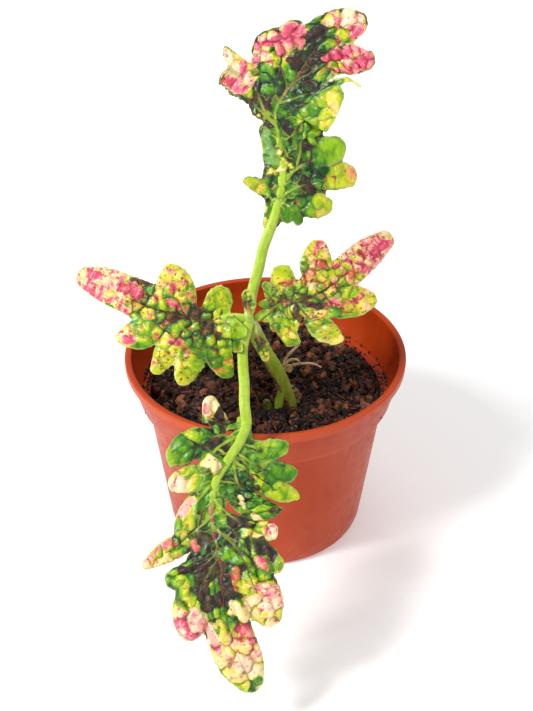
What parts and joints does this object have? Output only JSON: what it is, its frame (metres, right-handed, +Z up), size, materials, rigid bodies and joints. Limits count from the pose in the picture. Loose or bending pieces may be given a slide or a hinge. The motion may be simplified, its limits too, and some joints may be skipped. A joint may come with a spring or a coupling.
{
  "type": "potted coleus",
  "caption": "Young coleus with long lobed, quilted leaves on one leaning stem, growing in a small round nursery pot with a rolled rim and stepped collar.",
  "frame": {"origin": "centre of the pot's flat underside", "axes": "+Z up along the pot's axis; the plant leans towards -Y, which the picture looks at from the front, and +X is to the right in it"},
  "size_m": [0.1031, 0.1484, 0.1703],
  "materials": {
    "pot_plastic": "satin",
    "potting_soil": "matte",
    "stem_skin": "satin",
    "shoot_skin": "satin",
    "root_skin": "matte",
    "leaf_blade": "satin",
    "young_leaf": "satin"
  },
  "bodies": {
    "root": {"pot": "pot_plastic", "soil": "potting_soil", "stem": "stem_skin", "side_stub": "shoot_skin", "aerial_roots": "root_skin", "leaf_left": "leaf_blade", "leaf_right": "leaf_blade", "leaf_top": "leaf_blade", "leaf_bottom": "leaf_blade", "young_leaf_upper": "young_leaf", "young_leaf_lower": "young_leaf"}
  },
  "joints": []
}
